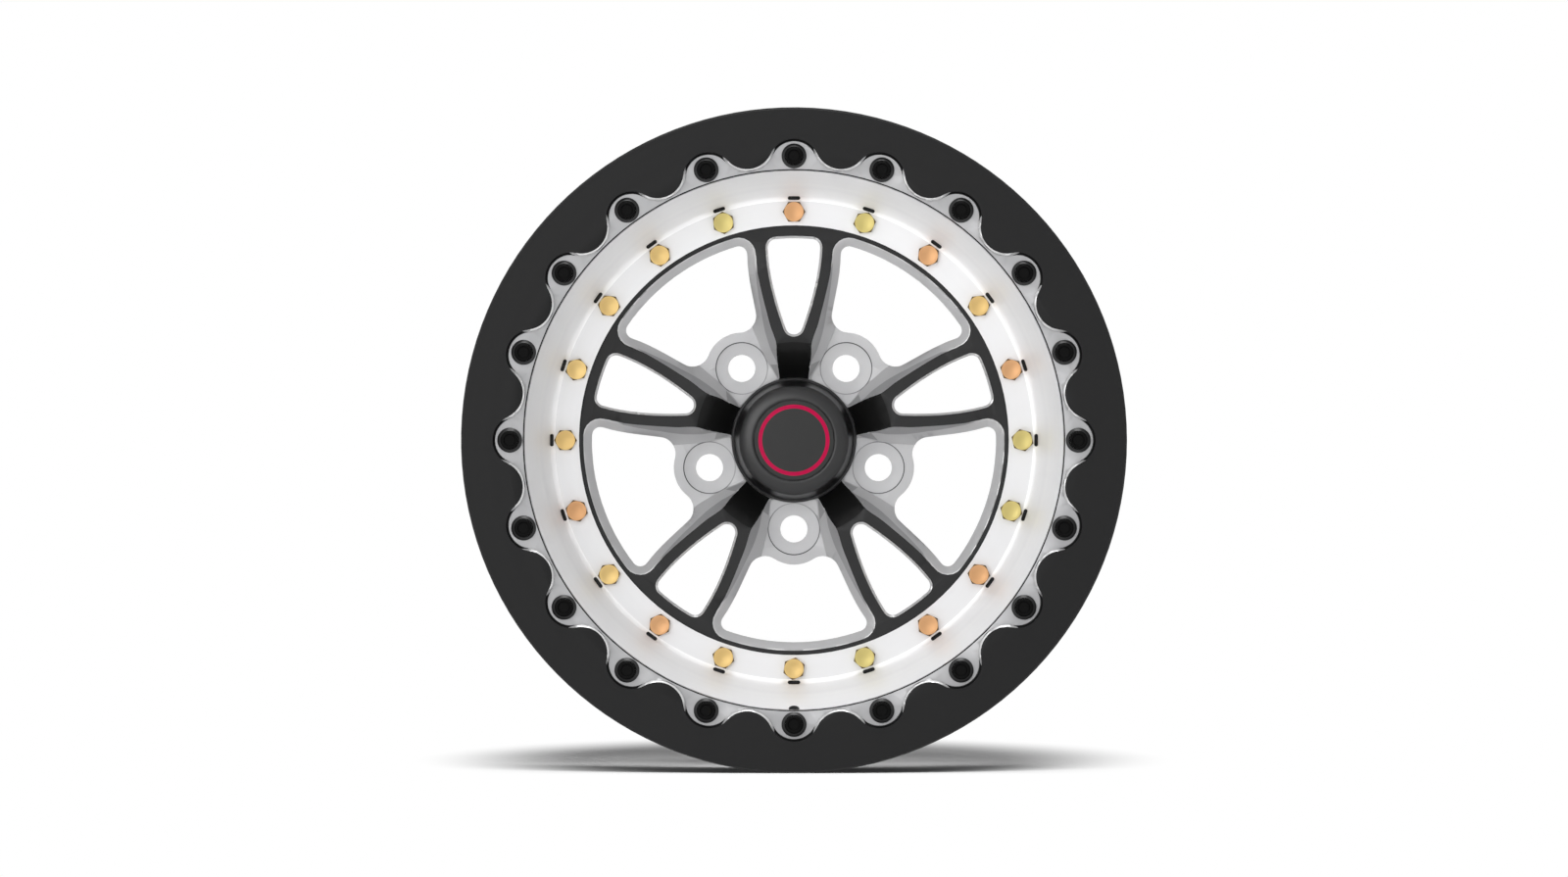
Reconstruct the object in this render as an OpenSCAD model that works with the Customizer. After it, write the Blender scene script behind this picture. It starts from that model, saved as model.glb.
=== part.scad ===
/* [Rim] */
// Distance between the two tyre bead faces
rim_width = 254; // [203:1:305]
// Distance from the hub face to the inboard edge of the rim
backspace = 139.7; // [125:0.1:155]
// Diameter of the inboard bead seat at its flange
bead_seat_d = 380.2; // [375:0.1:388]
// Height of the inboard tyre flange above its bead seat
flange_h = 17.3; // [15:0.1:19]
// Wall of both spun rim shells
shell_t = 5; // [4:0.1:6]
// Taper of a bead seat
seat_taper = 5; // [3:0.5:7]
// Width of the inboard bead seat
seat_w = 19; // [16:0.5:22]
// Depth of the inboard tyre lip, back from its bead face
lip_depth = 12.7; // [11:0.1:15]
// Inside diameter of the bolting flanges of both shells
shell_flange_id = 276.4; // [274:0.1:280]
// Diameter at the foot of the dish, where flange and barrel meet
dish_foot_d = 312.8; // [310:0.1:318]
// Inside diameter of the inboard drum, over the brake
drum_id = 345; // [340:1:350]
// Inside radius of the outer shell's bend between flange and barrel
bend_r = 3.5; // [2.5:0.1:5]
// Inside radius of the inner shell's bend, behind its bolting flange
drum_bend_r = 2; // [1.5:0.1:3]
// Length of the slots in the outer shell's bend, one outboard of each rim bolt
bend_slot_l = 8; // [6:0.1:9]
// Width of the bend slots
bend_slot_w = 2.4; // [1.5:0.1:3]
// Diameter of the circle that the bend slots lie on
bend_slot_circle_d = 311.4; // [308:0.1:313]
// Diameter of the valve hole
valve_d = 7; // [6:0.1:9]
// Angle between the valve hole and the wheel's axis
valve_tilt = 16; // [8:1:20]

/* [Rim bolts] */
// Number of bolts through the shells and the centre
rim_bolt_count = 20; // [15, 20, 25]
// Diameter of the rim bolt circle
rim_bolt_circle_d = 293.8; // [292:0.1:296]
// Diameter of the rim bolt shanks
rim_bolt_d = 7.94; // [7:0.01:8.5]
// Width across the flats of the rim bolt heads and nuts
rim_bolt_flats = 12.7; // [12:0.1:13.5]
// Height of the rim bolt heads
rim_bolt_head_h = 5.4; // [4:0.1:6]
// Height of the lock nuts, crown included
lock_nut_h = 8.6; // [7.5:0.1:10]
// Thickness of the washers under the lock nuts
washer_t = 1.6; // [1:0.1:2.5]
// Outside diameter of the washers
washer_d = 14.4; // [13.5:0.1:15]

/* [Centre] */
// Number of split spokes, and of wheel studs between them
spoke_count = 5; // [5]
// Diameter of the wheel stud circle
lug_circle_d = 114.3; // [112:0.1:120.7]
// Diameter of the wheel stud holes
lug_hole_d = 17.5; // [15:0.1:18]
// Diameter of the shallow washer seat round each stud hole
lug_seat_d = 33.2; // [30:0.1:34]
// Depth of the washer seats
lug_seat_depth = 0.8; // [0.4:0.1:1.5]
// Radius of the boss round each stud hole
lug_boss_r = 23; // [21:0.1:24]
// Thickness of the hub pad at the studs
pad_t = 18; // [16:0.5:21]
// Diameter of the hub bore
hub_bore_d = 78.1; // [77:0.1:79]
// Depth of the hub bore, up to the cap's own bore
hub_bore_depth = 9; // [6:0.5:10]
// Distance from the hub face to the machined front face
face_z = 38; // [35:0.5:42]
// Thickness of the centre's outer flange
centre_flange_t = 10; // [8:0.5:12]
// Diameter of the centre's outer flange
centre_d = 312; // [308:0.5:314]
// Diameter where the front face turns down towards the cap
dish_edge_d = 126.2; // [120:0.1:130]
// Radius from the axis to the outer edge of the large windows
window_r = 130; // [128:0.1:131]
// Corner radius of the large windows
window_corner_r = 5.4; // [4:0.1:7]
// Width of the bevel round the large windows
bevel_w = 5.4; // [4:0.1:6]
// Half width of a split spoke at the rim, out to the large windows
spoke_half_w = 30.1; // [28:0.1:31.5]
// Half width of a split spoke at its narrowest, beside the bosses
waist_half_w = 24.3; // [23:0.1:26]
// Radius of the blend between boss and spoke
boss_blend_r = 11; // [9:0.1:13]
// Radius from the axis to the inner tip of the small windows
slot_tip_r = 68; // [66:0.1:72]
// Radius of the small windows' inner tip
slot_tip_round = 5.5; // [4.5:0.1:6.5]
// Half width of the small windows at the rim
slot_half_w = 16.9; // [15:0.1:18]
// Bevel of the small windows
slot_bevel = 1.4; // [0.8:0.1:2]
// Diameter of the lightening holes in the hub face
relief_d = 17; // [12:0.5:19]
// Depth of the lightening holes
relief_depth = 6; // [3:0.5:8]

/* [Bead lock] */
// Outside diameter of the clamp ring
clamp_od = 426.2; // [420:0.1:430]
// Inside diameter of the clamp ring and of the base ring
clamp_id = 345.6; // [344:0.1:347]
// Thickness of the clamp ring
clamp_t = 13; // [11:0.5:15]
// Depth of the pockets milled round the clamp bolts
pocket_depth = 3.5; // [2.5:0.1:4.5]
// Fillet at the foot of the pocket walls
pocket_fillet = 1.6; // [1:0.1:2]
// Bevel along the teeth between the pockets
tooth_bevel = 1.4; // [0.8:0.1:2]
// Radius of the rounded outer end of a pocket
pocket_r = 16.3; // [15:0.1:17]
// Distance from the clamp bolt circle in to the pocket's centre
pocket_inset = 5.3; // [4:0.1:6]
// Radius from the axis to the centre of a tooth's round end
tooth_centre_r = 192.5; // [191:0.1:194]
// Number of clamp ring bolts
clamp_bolt_count = 20; // [20]
// Diameter of the clamp bolt circle
clamp_bolt_circle_d = 363.8; // [362:0.1:365]
// Diameter of the clamp bolts
clamp_bolt_d = 7.94; // [7:0.01:8.5]
// Diameter of the clamp bolts' flange
clamp_bolt_flange_d = 16; // [15:0.1:17]
// Height of the clamp bolt heads above the pocket floor
clamp_bolt_head_h = 8; // [6:0.1:9]
// Length of the clamp bolts under the head
clamp_bolt_len = 28; // [24:0.5:29]
// Room for the tyre bead between the base ring's flange and the clamp ring
bead_gap = 18; // [16:0.5:20]
// Thickness of the base ring's tyre flange
base_flange_t = 6; // [5:0.5:8]
// Outside diameter of the base ring's tyre flange
base_flange_d = 409; // [405:0.5:415]
// Outside diameter of the seat that the tyre bead is pushed over
bead_pilot_d = 379.2; // [378:0.1:381]
// Outside diameter of the thread inserts
insert_d = 11.1; // [10:0.1:12]
// Length of the thread inserts
insert_len = 18; // [12:0.5:19]
// Leg of the weld between the shell and the base ring
weld_leg = 5; // [3:0.5:6]

/* [Cap] */
// Diameter of the cap's foot
cap_d = 80; // [79.4:0.1:82]
// Depth of the turned recess that the cap's foot sits in
cap_recess = 0.4; // [0.2:0.1:0.6]
// Thickness of the cap's foot
cap_foot_t = 2.6; // [2:0.1:4]
// Diameter across the top edge of the cap
cap_top_d = 70.8; // [68:0.1:73]
// Height of the cap above the lug floor
cap_h = 26; // [20:0.5:32]
// Wall of the cap
cap_wall = 3; // [2:0.1:4]
// Diameter of the cap's plug, where it enters the centre
cap_plug_d = 76.6; // [75:0.1:76.6]
// Depth of the cap's plug
cap_plug_depth = 8; // [6:0.5:8.5]
// Diameter of the disc set in the cap
disc_d = 51; // [48:0.1:54]
// Thickness of the disc at its edge
disc_t = 1.6; // [1:0.1:2]
// Section diameter of the cap's seal ring
seal_ring_d = 2.6; // [2:0.1:3]

/* [Fits] */
// Clearance round a bolt in its hole
bolt_clearance = 0.15; // [0.1:0.01:0.3]
// Clearance round the cap's plug and the disc
cap_clearance = 0.1; // [0.05:0.01:0.2]
// Running clearance between a thread and its insert or nut
thread_clearance = 0.03; // [0.02:0.01:0.06]

/* [Hidden] */
$fn = 128;

// Heights along the axis, from the hub face towards the front
lug_r = lug_circle_d / 2;
half_pitch = 180 / spoke_count;
centre_back_z = face_z - centre_flange_t;
dish_z = face_z + shell_t;
inner_flange_z = centre_back_z - shell_t;
inboard_z = -backspace;
inboard_bead_z = inboard_z + lip_depth;
clamp_back_z = inboard_bead_z + rim_width;
clamp_front_z = clamp_back_z + clamp_t;
pocket_z = clamp_front_z - pocket_depth;
base_front_z = clamp_back_z;
base_bead_z = base_front_z - bead_gap;
base_back_z = base_bead_z - base_flange_t;

// Shared radii
flange_id_r = shell_flange_id / 2;
dish_foot_r = dish_foot_d / 2;
clamp_id_r = clamp_id / 2;
bead_seat_r = bead_seat_d / 2;
drum_r = drum_id / 2;
rim_bolt_r = rim_bolt_circle_d / 2;
clamp_bolt_r = clamp_bolt_circle_d / 2;
cap_bore_r = cap_plug_d / 2 + cap_clearance;
cap_foot_z = pad_t - cap_recess;
barrel_end_r = clamp_id_r - 0.2;
rim_hole_d = rim_bolt_d + 2 * bolt_clearance;
insert_hole_d = insert_d + 2 * thread_clearance;
barrel_slope = (barrel_end_r - dish_foot_r) / (base_back_z - dish_z);

// Turns of the rim bolt heads that don't stand square to the rim, in degrees
turned_heads = [[1, 24], [5, 14], [6, 32], [10, 22], [15, 30], [19, 18]];
// Plating tone of each rim bolt, clockwise from the top: 0 amber, 1 gold, 2 straw
bolt_tones = [0, 2, 0, 1, 0, 2, 2, 0, 0, 2, 1, 1, 0, 1, 0, 1, 1, 1, 1, 2];

function unit(v) = v / norm(v);
function reversed(p) = [for (i = [len(p) - 1 : -1 : 0]) p[i]];
function joined(lists) = [for (l = lists) each l];
function arc_points(c, r, a0, a1, n) =
    [for (i = [0 : n]) let (a = a0 + (a1 - a0) * i / n) [c[0] + r * cos(a), c[1] + r * sin(a)]];

// A path with its inner corners rounded to the given radii
function rounded(p, radii, n = 8) = [
    for (i = [0 : len(p) - 1])
        each (i == 0 || i == len(p) - 1 || radii[i] == 0) ? [p[i]]
            : corner(p[i - 1], p[i], p[i + 1], radii[i], n)
];
function corner(before, at, after, r, n) =
    let (a = unit(before - at), b = unit(after - at), half = acos(a * b) / 2)
    let (c = at + unit(a + b) * r / sin(half))
    let (s = at + a * r / tan(half) - c, e = at + b * r / tan(half) - c)
    let (a0 = atan2(s[1], s[0]), sweep = atan2(s[0] * e[1] - s[1] * e[0], s * e))
    arc_points(c, r, a0, a0 + sweep, n);

// A wall of even thickness on one side of a path; a negative thickness goes to the right
function side_of(p, t) = [
    for (i = [0 : len(p) - 1])
        let (d0 = unit(p[min(i, len(p) - 2) + 1] - p[min(i, len(p) - 2)]))
        let (d1 = unit(p[max(i, 1)] - p[max(i, 1) - 1]))
        let (m = unit(d0 + d1))
        p[i] + t / (m * d0) * [-m[1], m[0]]
];
function wall_profile(p, t) = concat(p, reversed(side_of(p, t)));

function bezier(a, b, c, d, n) = [
    for (i = [0 : n])
        let (t = i / n, s = 1 - t)
        s * s * s * a + 3 * s * s * t * b + 3 * s * t * t * c + t * t * t * d
];
// A smooth curve through all the given points
function through(p, n) = concat([
    for (i = [0 : len(p) - 2], k = [0 : n - 1])
        let (a = p[max(i - 1, 0)], b = p[i], c = p[i + 1], d = p[min(i + 2, len(p) - 1)], t = k / n)
        0.5 * (2 * b + (c - a) * t + (2 * a - 5 * b + 4 * c - d) * t * t
            + (3 * b - a - 3 * c + d) * t * t * t)
], [p[len(p) - 1]]);

// Spoke frame: the spoke points up, and its right side is worked out
function to_window(p) = [
    for (q = p)
        [q[1] * sin(half_pitch) - q[0] * cos(half_pitch), q[0] * sin(half_pitch) + q[1] * cos(half_pitch)]
];
// A closed outline from its right half, whose first and last points lie on the centre line
function closed_half(p) = concat(p, [for (i = [len(p) - 2 : -1 : 1]) [-p[i][0], p[i][1]]]);
// A closed outline from its right half, open across the middle at its start
function closed_open(p) = concat(p, [for (i = [len(p) - 2 : -1 : 0]) [-p[i][0], p[i][1]]]);
function at_height(p, z) = [for (q = p) [q[0], q[1], z]];

// A solid between outlines of equal length, the lowest first
module loft(rings) {
    n = len(rings[0]);
    sides = [
        for (i = [0 : len(rings) - 2], j = [0 : n - 1])
            let (a = i * n + j, b = i * n + (j + 1) % n)
            each [[a, a + n, b + n], [a, b + n, b]]
    ];
    bottom = [for (j = [0 : n - 1]) j];
    top = [for (j = [n - 1 : -1 : 0]) (len(rings) - 1) * n + j];
    polyhedron(points = joined(rings), faces = concat(sides, [bottom, top]), convexity = 8);
}

// Every copy of a shape, clockwise from the top
module around(count, r = 0, first = 0) {
    for (k = [0 : count - 1]) {
        rotate([0, 0, first - 360 / count * k]) translate([0, r, 0]) children();
    }
}

// The wheel stands upright, its front towards the viewer
module upright() {
    rotate([90, 0, 0]) children();
}

module hexagon_bar(flats, h) {
    cylinder(d = flats / cos(30), h = h, $fn = 6);
}

// A hexagon with its corners turned off at one end
module chamfered_hexagon(flats, h) {
    intersection() {
        hexagon_bar(flats, h);
        cylinder(r1 = flats / 2 + h * 1.9, r2 = flats / 2 - 0.35, h = h);
    }
}

// Large windows

lug_at = lug_r * [sin(half_pitch), cos(half_pitch)];
blend_x = waist_half_w + boss_blend_r;
blend_at = [blend_x, lug_at[1] + sqrt(pow(lug_boss_r + boss_blend_r, 2) - pow(blend_x - lug_at[0], 2))];
corner_x = spoke_half_w + window_corner_r;
corner_at = [corner_x, sqrt(pow(window_r - window_corner_r, 2) - corner_x * corner_x)];
corner_dir = atan2(corner_at[1], corner_at[0]);
window_dir = 90 - half_pitch;

function rim_corner(grow) = concat(
    arc_points(corner_at, window_corner_r + grow, 180, corner_dir, 6),
    [for (i = [1 : 8])
        let (a = corner_dir + (window_dir - corner_dir) * i / 8)
        (window_r + grow) * [cos(a), sin(a)]]
);

// The opening that goes right through, from the boss out to the rim
function window_opening() =
    let (blend_dir = atan2(blend_at[1] - lug_at[1], blend_at[0] - lug_at[0]))
    let (run = corner_at[1] - blend_at[1])
    let (side_end = [spoke_half_w, corner_at[1]])
    concat(
        arc_points(lug_at, lug_boss_r, window_dir, blend_dir, 6),
        [for (i = [1 : 8]) let (a = blend_dir + 180 + (180 - blend_dir - 180) * i / 8)
            blend_at + boss_blend_r * [cos(a), sin(a)]],
        [for (q = bezier([waist_half_w, blend_at[1]], [waist_half_w + 1, blend_at[1] + 0.2 * run],
            side_end - [0.1, 0.38 * run], side_end, 8)) if (q[1] > blend_at[1] && q[1] < side_end[1]) q],
        rim_corner(0)
    );

// Stations along a spoke's side: distance from the axis, half width of the front face,
// width of the steep upper wall, width of the lower bevel, and the drop to the break between them
root_y = cap_bore_r - 3.4;
spoke_run = corner_at[1] - (lug_r + 21.8);
crest_end = spoke_half_w - bevel_w;
spoke_stations = [
    [root_y, 8.6, 0.1, 0.7, 11.8],
    [lug_r - 17.1, 9.3, 0.2, 0.8, 11.8],
    [lug_r - 11.1, 10.1, 0.3, 3.2, 11.8],
    [lug_r - 5.7, 10.8, 0.9, 5.2, 11.8],
    [lug_r + 1, 11.2, 3.7, 5.1, 11.8],
    [lug_r + 10.5, 13, 5, 6.1, 11.8],
    [lug_r + 15.5, 14.9, 4.3, 6.6, 11],
    [lug_r + 21.8, 16.7, 3.7, 5.6, 9.4],
    [lug_r + 21.8 + 0.1 * spoke_run, crest_end - 7, 3.3, 5.4, 8],
    [lug_r + 21.8 + 0.31 * spoke_run, crest_end - 4.8, 2.7, 5.5, 6.2],
    [lug_r + 21.8 + 0.7 * spoke_run, crest_end - 1.3, 1.2, 6.2, 2.6],
    [corner_at[1], crest_end, 0.6, bevel_w + 0.9, 0.6]
];
floor_end = lug_r + 18;
foot_fillet = 1.2;
dish_start_r = cap_d / 2 + 0.3;
dish_start_z = pad_t + 1.6;
dish_edge_r = dish_edge_d / 2;

function front_z(r) = r > dish_edge_r ? face_z
    : dish_start_z + (r - dish_start_r) * (face_z - dish_start_z) / (dish_edge_r - dish_start_r);
function crest_point(s) = [s[1], s[0], front_z(norm([s[0], s[1]]))];
function break_point(s) =
    let (top = crest_point(s)[2])
    [s[1] + s[2], s[0], max(pad_t + foot_fillet + 0.2, min(face_z - s[4], top - s[2]))];
function foot_point(s) =
    let (b = break_point(s), x = s[1] + s[2] + s[3])
    [x, s[0], s[0] < floor_end ? pad_t + foot_fillet : b[2] - s[3]];
// The foot of the wall, part of the way down its fillet
function floor_point(s, down) =
    [s[1] + s[2] + s[3] + foot_fillet * down, s[0], pad_t + foot_fillet * (1 - down)];
// The upper wall carried on above the face, so that the face cuts it cleanly
function over_point(s) = let (a = crest_point(s), b = break_point(s)) a + (a - b) / (a[2] - b[2]);

// One outline of the pocket: its spoke side, then the corner and the rim at the same offset
function pocket_ring(side, grow, z) =
    let (smooth = through(side, 2), flat = [for (q = smooth) [q[0], q[1]]])
    let (half = concat(to_window(flat), to_window([for (i = [1 : 14]) rim_corner(grow)[i]])))
    let (heights = concat([for (q = smooth) q[2]], [for (i = [1 : 14]) z]))
    let (outline = closed_open(half), n = len(half))
    [for (i = [0 : len(outline) - 1]) [outline[i][0], outline[i][1], heights[i < n ? i : 2 * n - 2 - i]]];

module lug_pocket() {
    over = pocket_ring([for (s = spoke_stations) over_point(s)], bevel_w + 1, face_z + 1);
    loft([
        pocket_ring([for (s = spoke_stations) floor_point(s, 0.8)], -0.9 - 0.8 * foot_fillet,
            pad_t + 0.2 * foot_fillet),
        pocket_ring([for (s = spoke_stations) foot_point(s)], -0.9, face_z - bevel_w - 0.9),
        pocket_ring([for (s = spoke_stations) break_point(s)], bevel_w - 0.6, face_z - 0.6),
        over,
        [for (q = over) [q[0], q[1], face_z + 20]]
    ]);
}

// The flat floor that the wheel nuts sit on, cut a little up the fillet round it
module lug_floor() {
    outline = pocket_ring([for (s = spoke_stations) floor_point(s, 0.55)], -0.9 - 0.55 * foot_fillet, 0);
    translate([0, 0, pad_t]) linear_extrude(0.8 * foot_fillet) polygon([for (q = outline) [q[0], q[1]]]);
}

// Small windows in the fork of each spoke

slot_tip_at = [0, slot_tip_r + slot_tip_round];
slot_corner_x = slot_half_w - window_corner_r;
slot_corner_at = [slot_corner_x, sqrt(pow(window_r - window_corner_r, 2) - slot_corner_x * slot_corner_x)];
slot_tip_dir = -20.8;

function slot_half(grow) =
    let (tip_end = slot_tip_at + slot_tip_round * [cos(slot_tip_dir), sin(slot_tip_dir)])
    let (side_end = [slot_half_w, slot_corner_at[1]])
    let (run = side_end[1] - tip_end[1])
    let (dir = atan2(slot_corner_at[1], slot_corner_at[0]))
    let (tip_pull = 0.24 * run * [0.366, 1], end_pull = [0.7, 0.38 * run])
    let (side = bezier(tip_end, tip_end + tip_pull, side_end - end_pull, side_end, 10))
    concat(
        arc_points(slot_tip_at, slot_tip_round + grow, -90, slot_tip_dir, 6),
        [for (i = [1 : 9]) side_of(side, -grow)[i]],
        arc_points(slot_corner_at, window_corner_r + grow, 0, dir, 6),
        [for (i = [1 : 5]) let (a = dir + (90 - dir) * i / 5) (window_r + grow) * [cos(a), sin(a)]]
    );

module slot_bevel_cutter() {
    loft([
        at_height(closed_half(slot_half(-0.6)), face_z - slot_bevel - 0.6),
        at_height(closed_half(slot_half(slot_bevel + 1)), face_z + 1)
    ]);
}

// Forged centre

module centre_blank() {
    back = through([
        [lug_r + lug_boss_r, 0], [lug_r + lug_boss_r + 5, 4.5], [lug_r + lug_boss_r + 22, 14.5],
        [window_r - 5, centre_back_z - 4.5], [window_r + 3, centre_back_z - 0.6],
        [window_r + 6, centre_back_z]
    ], 4);
    profile = concat(
        [[hub_bore_d / 2, hub_bore_depth], [hub_bore_d / 2, 1], [hub_bore_d / 2 + 1, 0]],
        back,
        [[centre_d / 2, centre_back_z], [centre_d / 2, face_z], [dish_edge_r, face_z],
            [dish_start_r, dish_start_z], [dish_start_r, cap_foot_z], [cap_bore_r, cap_foot_z],
            [cap_bore_r, hub_bore_depth]]
    );
    rotate_extrude() polygon(profile);
}

// The blank with its windows cut, before the faces are milled
module windowed_blank() {
    opening = closed_half(to_window(window_opening()));
    slot = closed_half(slot_half(0));
    difference() {
        centre_blank();
        around(spoke_count, 0, half_pitch) {
            translate([0, 0, -1]) linear_extrude(face_z + 6) polygon(opening);
        }
        around(spoke_count) translate([0, 0, -1]) linear_extrude(face_z + 6) polygon(slot);
    }
}

module wheel_centre() {
    color("dimgray") upright() difference() {
        difference() {
            difference() {
                windowed_blank();
                around(spoke_count, 0, half_pitch) lug_floor();
            }
            around(spoke_count, 0, half_pitch) lug_pocket();
        }
        around(spoke_count) slot_bevel_cutter();
        around(spoke_count, lug_r, half_pitch) {
            translate([0, 0, -1]) cylinder(d = lug_hole_d, h = pad_t + 2);
            translate([0, 0, pad_t - lug_seat_depth]) cylinder(d = lug_seat_d, h = lug_seat_depth + 1);
        }
        around(spoke_count, lug_r + 2) translate([0, 0, -1]) cylinder(d = relief_d, h = relief_depth + 1);
        around(rim_bolt_count, rim_bolt_r) {
            translate([0, 0, centre_back_z - 1]) cylinder(d = rim_hole_d, h = centre_flange_t + 2);
        }
    }
}

// Spun rim shells

outer_path = rounded([
    [flange_id_r, dish_z],
    [dish_foot_r, dish_z],
    [barrel_end_r, base_back_z]
], [0, bend_r, 0]);
seat_path_r = bead_seat_r - shell_t;
seat_drop = seat_w * tan(seat_taper);
inner_path = rounded([
    [flange_id_r, inner_flange_z],
    [dish_foot_r, inner_flange_z],
    [dish_foot_r + 2.2, inner_flange_z - 18],
    [drum_r - 1, inner_flange_z - 42],
    [drum_r + 1, inboard_bead_z + seat_w + 22],
    [seat_path_r - seat_drop + 1, inboard_bead_z + seat_w + 3],
    [seat_path_r - seat_drop, inboard_bead_z + seat_w - 2],
    [seat_path_r + shell_t * tan(seat_taper), inboard_bead_z - shell_t],
    [bead_seat_r + flange_h - shell_t, inboard_bead_z - shell_t],
    [bead_seat_r + flange_h - shell_t, inboard_z]
], [0, drum_bend_r, 10, 14, 14, 3, 4, 11, 4, 0]);

module outer_shell_profile() {
    polygon(wall_profile(outer_path, -shell_t));
}

module inner_shell_profile() {
    polygon(wall_profile(inner_path, shell_t));
}

// The valve hole comes out of the barrel just behind the base ring, at the bottom of the wheel
valve_r = clamp_id_r - 0.8;
valve_z = dish_z + (valve_r - dish_foot_r) / barrel_slope;
module valve_drill() {
    translate([0, -valve_r, valve_z]) rotate([-valve_tilt, 0, 0])
        translate([0, 0, -25]) cylinder(d = valve_d, h = 60);
}

// A drain slot through the bend, which shows the black centre behind it
module bend_slot() {
    straight = (bend_slot_l - bend_slot_w) / 2;
    h = shell_t + bend_r + 3;
    translate([0, 0, face_z - 1]) {
        translate([-straight, 0]) cylinder(d = bend_slot_w, h = h);
        translate([straight, 0]) cylinder(d = bend_slot_w, h = h);
        translate([-straight, -bend_slot_w / 2]) cube([2 * straight, bend_slot_w, h]);
    }
}

module outer_rim_shell() {
    color("gainsboro") upright() difference() {
        rotate_extrude() outer_shell_profile();
        around(rim_bolt_count, rim_bolt_r) {
            translate([0, 0, face_z - 1]) cylinder(d = rim_hole_d, h = shell_t + 2);
        }
        around(rim_bolt_count, bend_slot_circle_d / 2) bend_slot();
        valve_drill();
    }
}

module inner_rim_shell() {
    color("silver") upright() difference() {
        rotate_extrude() inner_shell_profile();
        around(rim_bolt_count, rim_bolt_r) {
            translate([0, 0, inner_flange_z - 1]) cylinder(d = rim_hole_d, h = shell_t + 2);
        }
    }
}

// Sealant in the groove between the shells, outside the centre's edge
module rim_joint_seal() {
    mid_z = (face_z + centre_back_z) / 2;
    color("lightgray") upright() rotate_extrude() difference() {
        translate([centre_d / 2, mid_z - 9]) square([5, 18]);
        outer_shell_profile();
        inner_shell_profile();
    }
}

// Bead lock

module bead_base_ring() {
    pilot_r = bead_pilot_d / 2;
    edge_r = base_flange_d / 2;
    profile = concat(
        [[clamp_id_r, base_back_z], [edge_r - 2, base_back_z]],
        arc_points([edge_r - 2, base_back_z + 2], 2, -90, 0, 4),
        arc_points([edge_r - 2, base_bead_z - 2], 2, 0, 90, 4),
        arc_points([pilot_r + 6, base_bead_z + 6], 6, 270, 180, 6),
        [[pilot_r, base_front_z - 1.5], [pilot_r - 1.5, base_front_z], [clamp_id_r + 0.4, base_front_z],
            [clamp_id_r, base_front_z - 0.4]]
    );
    color("darkgray") upright() difference() {
        rotate_extrude() polygon(profile);
        around(clamp_bolt_count, clamp_bolt_r) {
            translate([0, 0, base_front_z - insert_len - 3]) cylinder(d = insert_hole_d, h = insert_len + 4);
        }
        valve_drill();
    }
}

module base_ring_weld() {
    foot = side_of(outer_path, -shell_t)[len(outer_path) - 1];
    end_r = foot[0] + (base_back_z - foot[1]) * barrel_slope;
    color("gray") upright() difference() {
        rotate_extrude() difference() {
            polygon([
                [end_r - 1, base_back_z], [end_r + weld_leg, base_back_z],
                [end_r + 0.45 * weld_leg, base_back_z - 0.75 * weld_leg],
                [end_r - weld_leg * barrel_slope - 0.1, base_back_z - weld_leg - 1.2]
            ]);
            outer_shell_profile();
        }
        valve_drill();
    }
}

pocket_centre_r = clamp_bolt_r - pocket_inset;
tooth_half_pitch = 180 / clamp_bolt_count;
tooth_at = tooth_centre_r * [sin(tooth_half_pitch), cos(tooth_half_pitch)];
tooth_r = norm(tooth_at - [0, pocket_centre_r]) - pocket_r;

// A pocket's rounded end, with a fillet round its floor
module pocket_end() {
    rotate_extrude() polygon(concat(
        [[0, 0], [pocket_r - pocket_fillet, 0]],
        arc_points([pocket_r - pocket_fillet, pocket_fillet], pocket_fillet, -90, 0, 5),
        [[pocket_r, pocket_depth + 1], [0, pocket_depth + 1]]
    ));
}

module pocket_mouth() {
    reach = pocket_centre_r - clamp_id_r + 4;
    wide = tooth_at[0];
    linear_extrude(pocket_depth + 1) polygon([
        [-pocket_r * 0.9, 6.6], [-wide, -3], [-wide, -reach],
        [wide, -reach], [wide, -3], [pocket_r * 0.9, 6.6]
    ]);
}

// A tooth between two pockets, bevelled along its round end
module tooth() {
    translate([0, 0, -1]) cylinder(r = tooth_r + tooth_bevel, h = pocket_depth - tooth_bevel + 1);
    translate([0, 0, pocket_depth - tooth_bevel]) {
        cylinder(r1 = tooth_r + tooth_bevel, r2 = tooth_r - 1, h = tooth_bevel + 1);
    }
}

module bead_clamp_ring() {
    outer_r = clamp_od / 2;
    hook_z = clamp_back_z - 3;
    profile = concat(
        [[clamp_id_r, clamp_back_z], [outer_r - 19, clamp_back_z], [outer_r - 8, hook_z]],
        arc_points([outer_r - 4.5, hook_z + 4.5], 4.5, -90, 0, 6),
        [[outer_r, clamp_front_z - 1.2], [outer_r - 1.2, clamp_front_z], [clamp_id_r + 2, clamp_front_z],
            [clamp_id_r + 2, pocket_z + 0.3], [clamp_id_r + 0.8, pocket_z], [clamp_id_r, pocket_z - 0.8]]
    );
    color([0.18, 0.18, 0.18]) upright() difference() {
        rotate_extrude() polygon(profile);
        difference() {
            translate([0, 0, pocket_z]) around(clamp_bolt_count, pocket_centre_r) {
                pocket_end();
                pocket_mouth();
            }
            translate([0, 0, pocket_z]) around(clamp_bolt_count, tooth_centre_r, tooth_half_pitch) tooth();
        }
        around(clamp_bolt_count, clamp_bolt_r) {
            translate([0, 0, clamp_back_z - 1]) cylinder(d = clamp_bolt_d + 0.8, h = clamp_t + 2);
        }
    }
}

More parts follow.
